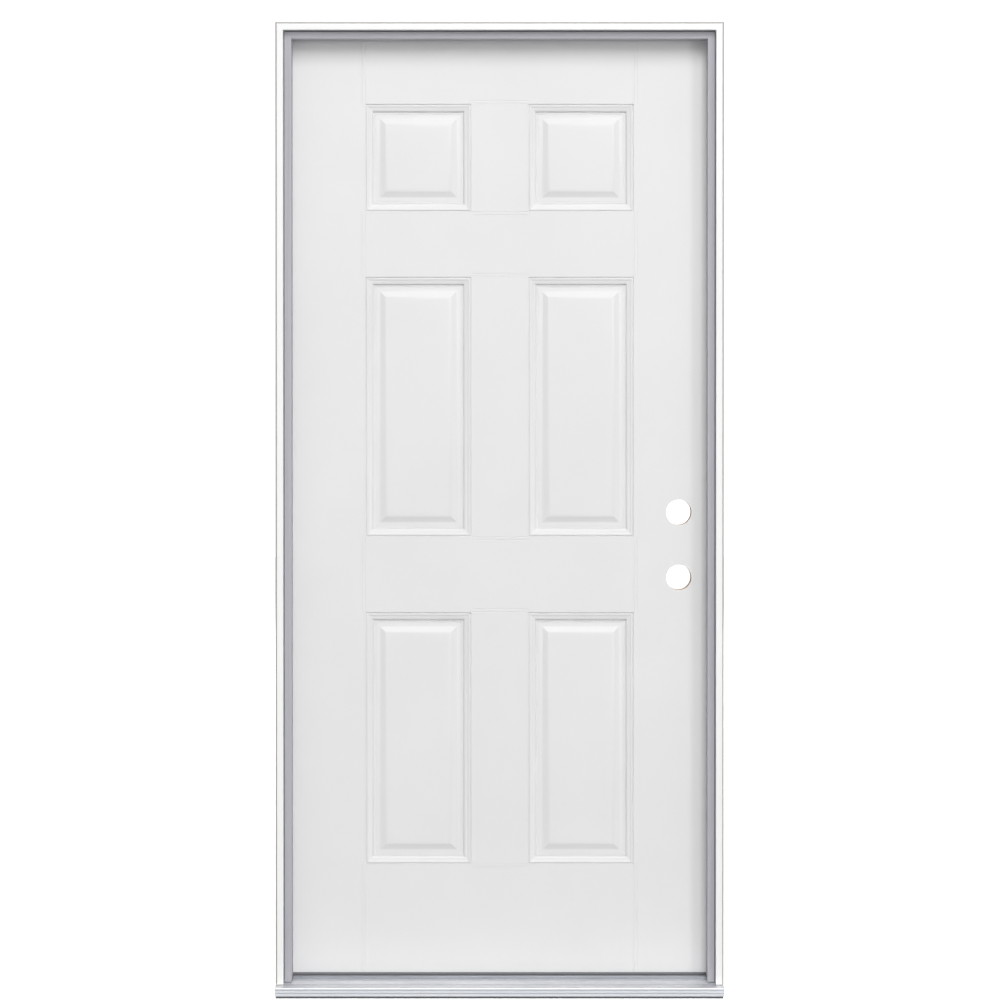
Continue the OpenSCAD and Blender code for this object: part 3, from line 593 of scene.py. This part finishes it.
def moulded_face():
    """The skin's outside surface, flat on the XZ plane and facing -Y, with depths along +Y."""
    bm = bmesh.new()
    bmesh.ops.create_grid(bm, x_segments=1, y_segments=1, size=0.5)
    bmesh.ops.scale(bm, vec=(slab_wide, slab_tall, 1), verts=bm.verts)
    bmesh.ops.rotate(bm, matrix=Matrix.Rotation(math.pi / 2, 3, "X"), verts=bm.verts)
    bmesh.ops.translate(bm, vec=(slab_wide / 2, 0, slab_tall / 2), verts=bm.verts)

    columns = [(x, x + panel_wide) for x in column_starts]
    rows = [(z, z + h) for z, h in zip(row_starts, row_heights)]
    outer = [(columns[0][0], -1), (columns[1][1], 1)]
    x_cuts = {line for edge, sign in outer for line in groove_lines(edge, sign)}
    x_cuts |= {columns[0][1], columns[1][0]}
    z_cuts = {
        line for low, high in rows for line in groove_lines(low, -1) + groove_lines(high, 1)
    }
    for cuts, normal in ((x_cuts, (1, 0, 0)), (z_cuts, (0, 0, 1))):
        for cut in sorted(cuts):
            bmesh.ops.bisect_plane(
                bm,
                geom=bm.verts[:] + bm.edges[:] + bm.faces[:],
                plane_co=tuple(cut * n for n in normal),
                plane_no=normal,
            )

    rails = [(0, rows[0][0])]
    rails += [(rows[i][1], rows[i + 1][0]) for i in range(2)]
    rails += [(rows[2][1], slab_tall)]
    strips = []
    for edge, sign in outer:
        lines = sorted(groove_lines(edge, sign))
        for pair in (lines[:2], lines[2:]):
            strips += [(pair, rail) for rail in rails]
    for low, high in rows:
        for edge, sign in ((low, -1), (high, 1)):
            lines = sorted(groove_lines(edge, sign))
            span = (columns[0][1], columns[1][0])
            strips += [(span, lines[:2]), (span, lines[2:])]
    for x_span, z_span in strips:
        faces = [
            f
            for f in bm.faces
            if in_span(f.calc_center_median().x, x_span)
            and in_span(f.calc_center_median().z, z_span)
        ]
        bmesh.ops.inset_region(
            bm, faces=faces, thickness=0.55 * MM, depth=-0.5 * MM, use_even_offset=True
        )

    panels = []
    for x_low, x_high in columns:
        for z_low, z_high in rows:
            middle = Vector(((x_low + x_high) / 2, 0, (z_low + z_high) / 2))
            panels.append(min(bm.faces, key=lambda f: (f.calc_center_median() - middle).length))
    was_in, was_deep = 0.0, 0.0
    for inward, deep in moulding():
        bmesh.ops.inset_individual(
            bm,
            faces=panels,
            thickness=(inward - was_in) * MM,
            depth=-(deep - was_deep) * MM,
            use_even_offset=True,
        )
        was_in, was_deep = inward, deep
    return bm


def moulded_skin_shell(face_y, inwards):
    """A closed skin: the moulded face, and a copy of it one skin deeper, joined round the rim."""
    bm = moulded_face()
    front = bm.faces[:]
    back = bmesh.ops.duplicate(bm, geom=bm.verts[:] + bm.edges[:] + front)
    back_faces = [g for g in back["geom"] if isinstance(g, bmesh.types.BMFace)]
    back_verts = [g for g in back["geom"] if isinstance(g, bmesh.types.BMVert)]
    bmesh.ops.translate(bm, vec=(0, skin_thick, 0), verts=back_verts)
    bmesh.ops.reverse_faces(bm, faces=back_faces)
    rims = [e for e in bm.edges if e.is_boundary]
    bmesh.ops.bridge_loops(bm, edges=rims)
    bmesh.ops.recalc_face_normals(bm, faces=bm.faces)
    if inwards < 0:
        bmesh.ops.scale(bm, vec=(1, -1, 1), verts=bm.verts)
        bmesh.ops.reverse_faces(bm, faces=bm.faces)
    bmesh.ops.translate(bm, vec=(slab_left, face_y, slab_bottom), verts=bm.verts)
    return bm


def to_object(name, bm, material):
    mesh = bpy.data.meshes.new(name)
    bm.to_mesh(mesh)
    bm.free()
    piece = bpy.data.objects.new(name, mesh)
    bpy.context.scene.collection.objects.link(piece)
    mesh.materials.append(material)
    return piece


def cross_bores():
    """Solid rounds along Y, one for each bore, longer than the slab is thick."""
    bm = bmesh.new()
    through = 0.2
    for place in bores:
        made = bmesh.ops.create_cone(
            bm,
            cap_ends=True,
            segments=96,
            radius1=bore_radius,
            radius2=bore_radius,
            depth=through,
        )
        bmesh.ops.rotate(bm, matrix=Matrix.Rotation(math.pi / 2, 3, "X"), verts=made["verts"])
        bmesh.ops.translate(bm, vec=place, verts=made["verts"])
    return bm


def leaf_recesses():
    """Blocks where the hinge leaves are let into the inside skin's edge."""
    bm = bmesh.new()
    wide, deep, clear = 5.4 * MM, 8 * MM, 0.2 * MM
    for place in ("top", "middle", "bottom"):
        low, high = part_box("hinge_leaf_door_" + place)
        made = bmesh.ops.create_cube(bm, size=1)
        tall = high.z - low.z + clear
        bmesh.ops.scale(bm, vec=(wide, deep, tall), verts=made["verts"])
        middle = (slab_left, inside_face, (low.z + high.z) / 2)
        bmesh.ops.translate(bm, vec=middle, verts=made["verts"])
    return bm


def cut_away(piece, solids):
    """Takes closed solids away from a piece and keeps the cut mesh."""
    cutter = to_object("cutter", solids, skin_finish)
    cut = piece.modifiers.new("cut", "BOOLEAN")
    cut.operation, cut.solver, cut.object = "DIFFERENCE", "EXACT", cutter
    bpy.context.view_layer.update()
    shaped = bpy.data.meshes.new_from_object(
        piece.evaluated_get(bpy.context.evaluated_depsgraph_get())
    )
    piece.modifiers.clear()
    piece.data = shaped
    bpy.data.objects.remove(cutter)


for name, face_y, inwards in (
    ("skin_exterior", outside_face, 1),
    ("skin_interior", inside_face, -1),
):
    skin = to_object("moulded_" + name, moulded_skin_shell(face_y, inwards), skin_finish)
    cut_away(skin, cross_bores())
    if name == "skin_interior":
        cut_away(skin, leaf_recesses())
    for polygon in skin.data.polygons:
        polygon.use_smooth = True
    skin.data.set_sharp_from_angle(angle=math.radians(24))
    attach(skin, "door")
    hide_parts(name)

# ---------------------------------------------------------------- floor, light and camera


def stage_plane(name, size, place, turn, hex_code, glow):
    bm = bmesh.new()
    bmesh.ops.create_grid(bm, x_segments=1, y_segments=1, size=size / 2)
    bmesh.ops.rotate(bm, matrix=Matrix.Rotation(turn, 3, "X"), verts=bm.verts)
    bmesh.ops.translate(bm, vec=place, verts=bm.verts)
    material, tree, shader, _ = new_material(name)
    link(tree, shader, base_color=colour(hex_code), roughness=0.9)
    shader.inputs["Emission Color"].default_value = (1, 1, 1, 1)
    shader.inputs["Emission Strength"].default_value = glow
    piece = to_object(name, bm, material)
    piece.visible_diffuse = False
    return piece


under_sill = -0.2 * MM
stage_plane("floor", 60, (0, 0, under_sill), 0, "#F2F2F2", 0.75)
for name, y in (("backdrop", 25), ("backdrop_outside", -25)):
    stage_plane(name, 80, (0, y, 0), math.pi / 2, "#FFFFFF", 1.0).visible_shadow = False

world = bpy.data.worlds.new("studio")
bpy.context.scene.world = world
world.use_nodes = True
sky = world.node_tree
sky.nodes.clear()
_, depth, height = add(
    sky,
    "ShaderNodeSeparateXYZ",
    {0: add(sky, "ShaderNodeTexCoord").outputs["Generated"]},
).outputs[:3]
dome = spread(sky, height, -0.4, 0.6, 0.50, 0.80)
ahead = spread(sky, depth, -1.0, -0.1, 0.98, 0.27)
level = add(sky, "ShaderNodeMath", {0: dome, 1: ahead}, operation="MULTIPLY").outputs[0]
glow = add(sky, "ShaderNodeBackground", {"Color": (1, 1, 1, 1), "Strength": level})
add(sky, "ShaderNodeOutputWorld", {"Surface": glow.outputs[0]})


def soft_light(name, azimuth, elevation, width, tall, watts, glossy=True):
    """A flat soft light; azimuth 0 is in front of the door and 90 to its right."""
    lamp = bpy.data.lights.new(name, "AREA")
    lamp.shape, lamp.size, lamp.size_y, lamp.energy = "RECTANGLE", width, tall, watts
    holder = bpy.data.objects.new(name, lamp)
    bpy.context.scene.collection.objects.link(holder)
    a, e = math.radians(azimuth), math.radians(elevation)
    out = Vector((math.sin(a) * math.cos(e), -math.cos(a) * math.cos(e), math.sin(e)))
    holder.location = Vector((0, 0, mid_height)) + out * lamp_distance
    holder.visible_camera, holder.visible_glossy = False, glossy
    holder.rotation_mode = "QUATERNION"
    holder.rotation_quaternion = (-out).to_track_quat("-Z", "Y")


mid_height, lamp_distance = 1.05, 14
soft_light("key", 7, 33, 4.0, 7.5, 1050)
soft_light("fill", 31, 2, 2.5, 5.0, 330, glossy=False)
soft_light("behind", 165, 28, 6.0, 6.0, 1400, glossy=False)

lens = bpy.data.cameras.new("camera")
camera = bpy.data.objects.new("camera", lens)
bpy.context.scene.collection.objects.link(camera)
camera.location = (0.85 * MM, -7.5, 1.212)
camera.rotation_euler = (math.radians(89.5), 0, 0)
lens.sensor_width = 36
lens.lens = 126.2
lens.shift_y = -0.0428
lens.clip_start, lens.clip_end = 0.1, 200
bpy.context.scene.camera = camera

bpy.context.scene.view_settings.view_transform = "Standard"
bpy.context.scene.view_settings.look = "None"
